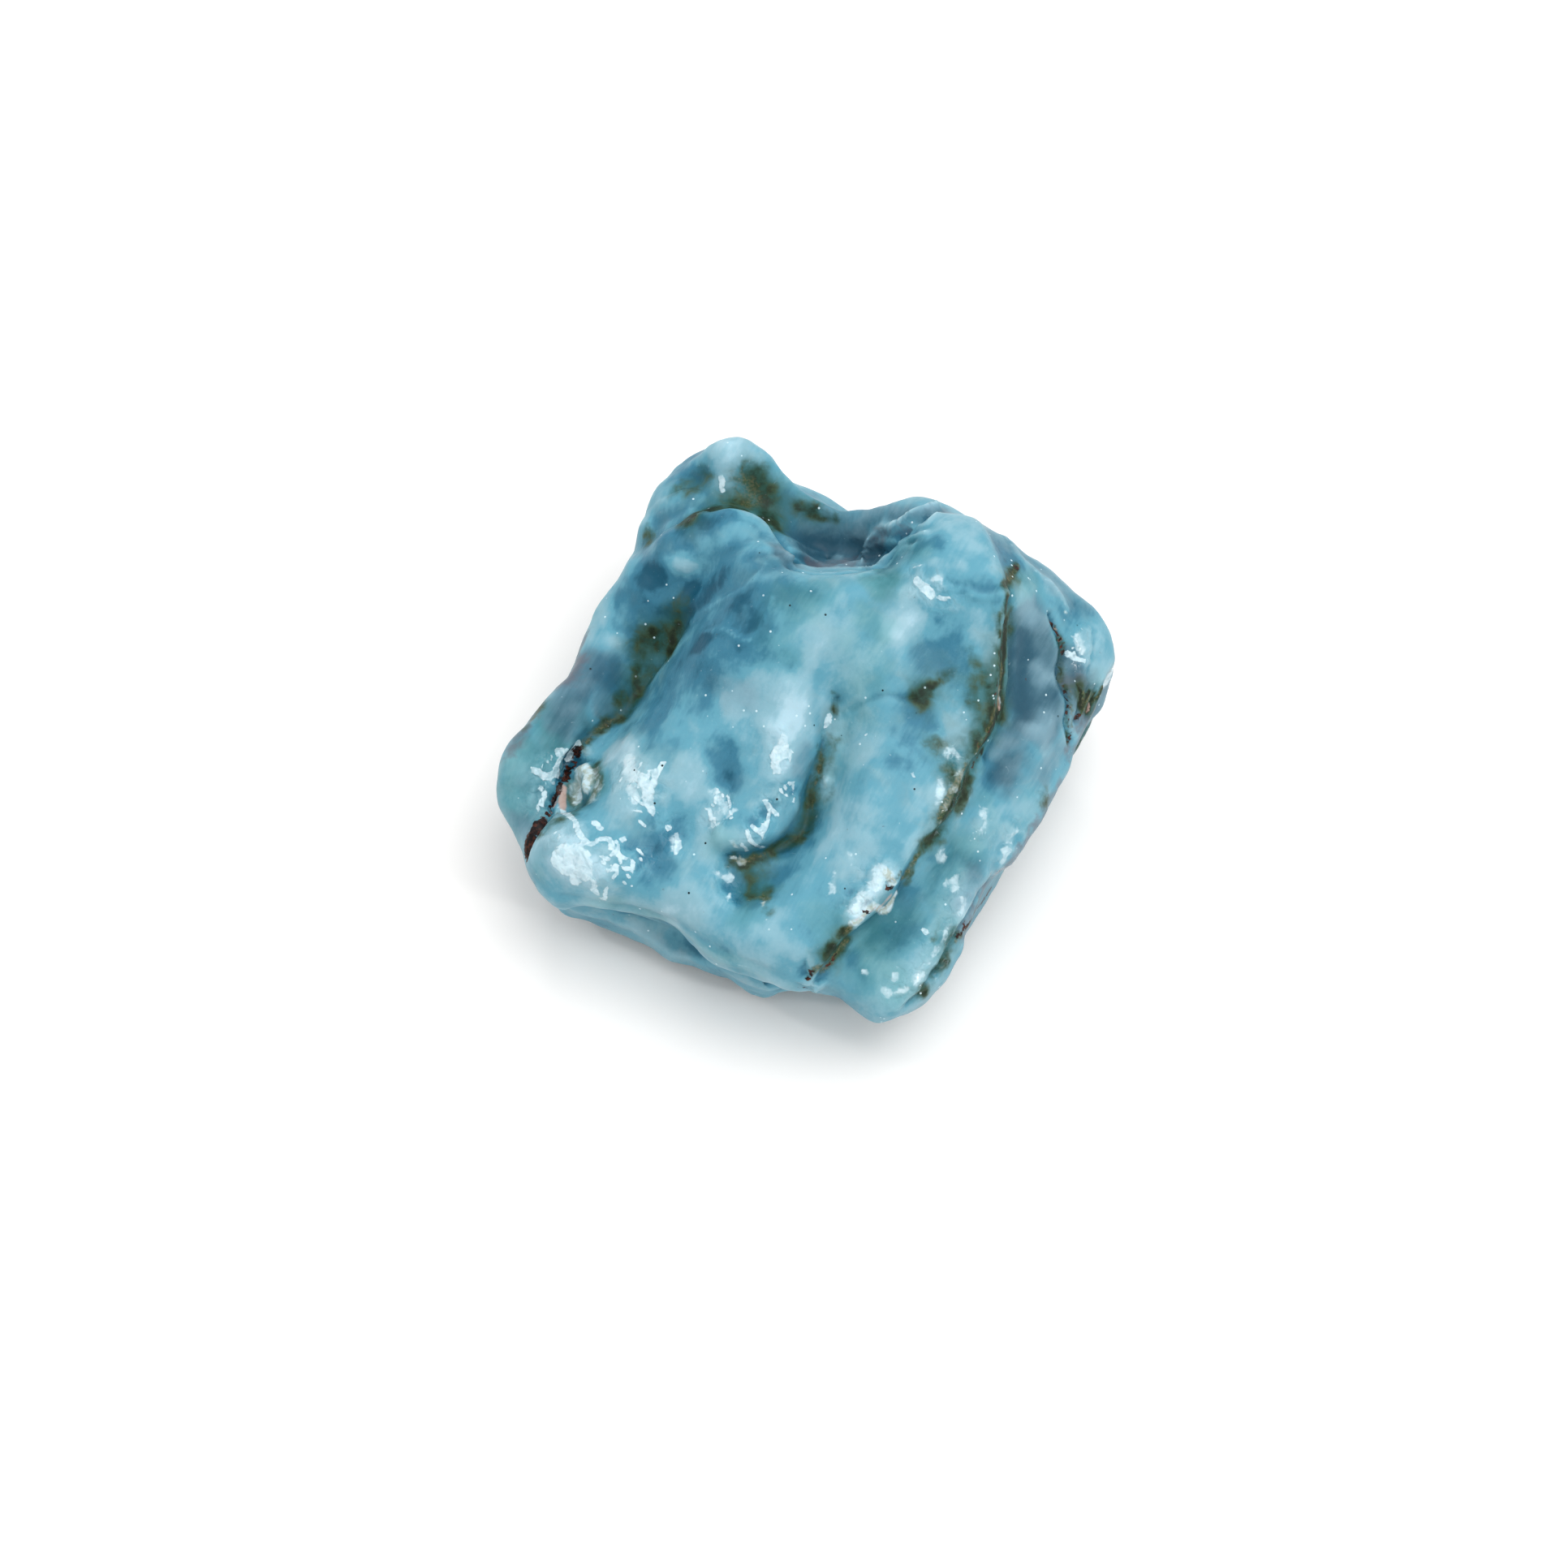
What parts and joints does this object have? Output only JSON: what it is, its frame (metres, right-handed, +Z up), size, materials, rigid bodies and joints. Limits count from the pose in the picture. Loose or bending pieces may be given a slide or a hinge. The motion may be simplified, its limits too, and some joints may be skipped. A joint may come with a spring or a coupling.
{
  "type": "raw larimar",
  "caption": "Rough, thumb-sized lump of blue stone, squarish in plan and flat underneath, with parallel folded bands, grooves and a step over its top.",
  "frame": {"origin": "middle of the bounding box seen from above, on the plane of the flat break the stone rests on", "axes": "+Z up out of the flat break, +X to the right along the stone's longest extent, +Y to the back, where the top is highest"},
  "size_m": [0.034, 0.033, 0.0174],
  "materials": {
    "larimar": "wet-looking gloss over cloudy sky-blue to teal pectolite, with moss-green and brown seams, a rusty crack and cream crusts"
  },
  "bodies": {
    "root": {"larimar_stone": "larimar"}
  },
  "joints": []
}
